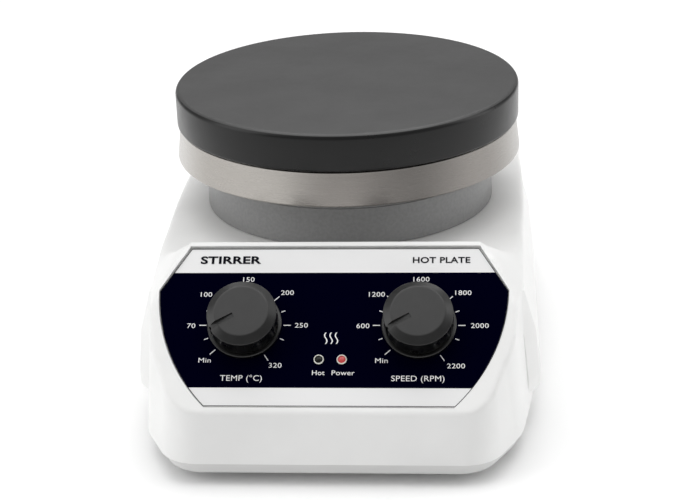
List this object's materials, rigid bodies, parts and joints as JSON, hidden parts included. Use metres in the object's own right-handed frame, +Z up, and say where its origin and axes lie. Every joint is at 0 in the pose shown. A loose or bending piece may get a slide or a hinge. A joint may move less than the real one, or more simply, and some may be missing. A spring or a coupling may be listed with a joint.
{
  "type": "magnetic stirrer",
  "caption": "Benchtop magnetic stirrer with a round hotplate, a sloping control panel with temperature and speed dials, and a motor-driven magnet bar inside.",
  "frame": {"origin": "on the bench surface under the middle of the case, level with the undersides of the feet", "axes": "+Z up out of the hotplate, -Y towards the control panel and the user, +X to the user's right"},
  "size_m": [0.1494, 0.2199, 0.107],
  "materials": {
    "case_plastic": "white satin moulding, fine spark texture",
    "plate_coating": "matte dark ceramic coating on aluminium, faint turned sheen",
    "brushed_steel": "satin brushed stainless sheet",
    "neck_casting": "mid-grey powder coat, fine grain",
    "panel_film": "printed film, navy band between white bands",
    "knob_plastic": "charcoal moulded plastic",
    "zinc_steel": "zinc plated",
    "mica_sheet": "laminated mica",
    "mineral_wool": "pressed fibre",
    "foot_rubber": "matte black",
    "shaft_brass": "machined",
    "lamp_olive": "dark unlit lens",
    "lamp_red": "red lens",
    "bezel_white": "satin",
    "circuit_board": "solder mask",
    "transformer_tape": "polyester tape",
    "capacitor_sleeve": "shrink sleeve",
    "black_moulding": "fine texture",
    "bare_aluminium": "die cast",
    "copper_winding": "lacquered wire on a laminated core",
    "rotor_iron": "laminated steel",
    "magnet_nickel": "nickel plated"
  },
  "bodies": {
    "base": {"upper_housing": "case_plastic", "base_pan": "case_plastic", "heating_plate": "plate_coating", "plate_shroud": "brushed_steel", "rear_panel": "brushed_steel", "neck_collar": "neck_casting", "panel_overlay": "panel_film", "clamp_plate": "zinc_steel", "temp_potentiometer": "zinc_steel", "speed_potentiometer": "zinc_steel", "temp_nut": "zinc_steel", "speed_nut": "zinc_steel", "plate_standoff_1": "zinc_steel", "plate_standoff_2": "zinc_steel", "plate_standoff_3": "zinc_steel", "case_screw_1": "zinc_steel", "case_screw_2": "zinc_steel", "case_screw_3": "zinc_steel", "case_screw_4": "zinc_steel", "upper_bearing": "zinc_steel", "lower_bearing": "zinc_steel", "motor_can": "zinc_steel", "temperature_probe": "zinc_steel", "rod_socket": "zinc_steel", "heater_element": "mica_sheet", "insulation_ring": "mineral_wool", "foot_1": "foot_rubber", "foot_2": "foot_rubber", "foot_3": "foot_rubber", "foot_4": "foot_rubber", "inlet_pin_live": "shaft_brass", "inlet_pin_neutral": "shaft_brass", "inlet_pin_earth": "shaft_brass", "hot_lamp": "lamp_olive", "power_lamp": "lamp_red", "hot_lamp_bezel": "bezel_white", "power_lamp_bezel": "bezel_white", "front_board": "circuit_board", "control_board": "circuit_board", "transformer": "transformer_tape", "mains_capacitor": "capacitor_sleeve", "mains_inlet": "black_moulding", "rocker_frame": "black_moulding", "thermal_cutout": "black_moulding", "heat_sink": "bare_aluminium", "motor_end_cap": "bare_aluminium", "motor_bracket": "bare_aluminium", "stator_core": "copper_winding"},
    "temp_dial": {"temp_knob": "knob_plastic", "temp_shaft": "shaft_brass"},
    "speed_dial": {"speed_knob": "knob_plastic", "speed_shaft": "shaft_brass"},
    "rotor": {"motor_shaft": "zinc_steel", "rotor_core": "rotor_iron", "magnet_yoke": "zinc_steel", "magnet_north": "magnet_nickel", "magnet_south": "magnet_nickel", "cooling_fan": "bezel_white"},
    "rocker": {"power_rocker": "black_moulding"},
    "fuse_tray": {"fuse_drawer": "black_moulding"}
  },
  "joints": [
    {"name": "temp_knob_turn", "type": "hinge", "parent": "base", "child": "temp_dial", "pos_m": [-0.031, -0.07998, 0.04792], "axis": [0, -0.6361, 0.7716], "range_deg": [-265.5, 14.7]},
    {"name": "speed_knob_turn", "type": "hinge", "parent": "base", "child": "speed_dial", "pos_m": [0.031, -0.07998, 0.04792], "axis": [0, -0.6361, 0.7716], "range_deg": [-265.5, 14.7]},
    {"name": "rotor_spin", "type": "hinge", "parent": "base", "child": "rotor", "pos_m": [0, 0.022, 0.04], "axis": [0, 0, 1], "continuous": true},
    {"name": "rocker_tilt", "type": "hinge", "parent": "base", "child": "rocker", "pos_m": [0.024, 0.1051, 0.029], "axis": [1, 0, 0], "range_deg": [-20, 0]},
    {"name": "fuse_drawer_slide", "type": "slide", "parent": "base", "child": "fuse_tray", "axis": [0, 1, 0], "range_m": [0, 0.014]}
  ]
}
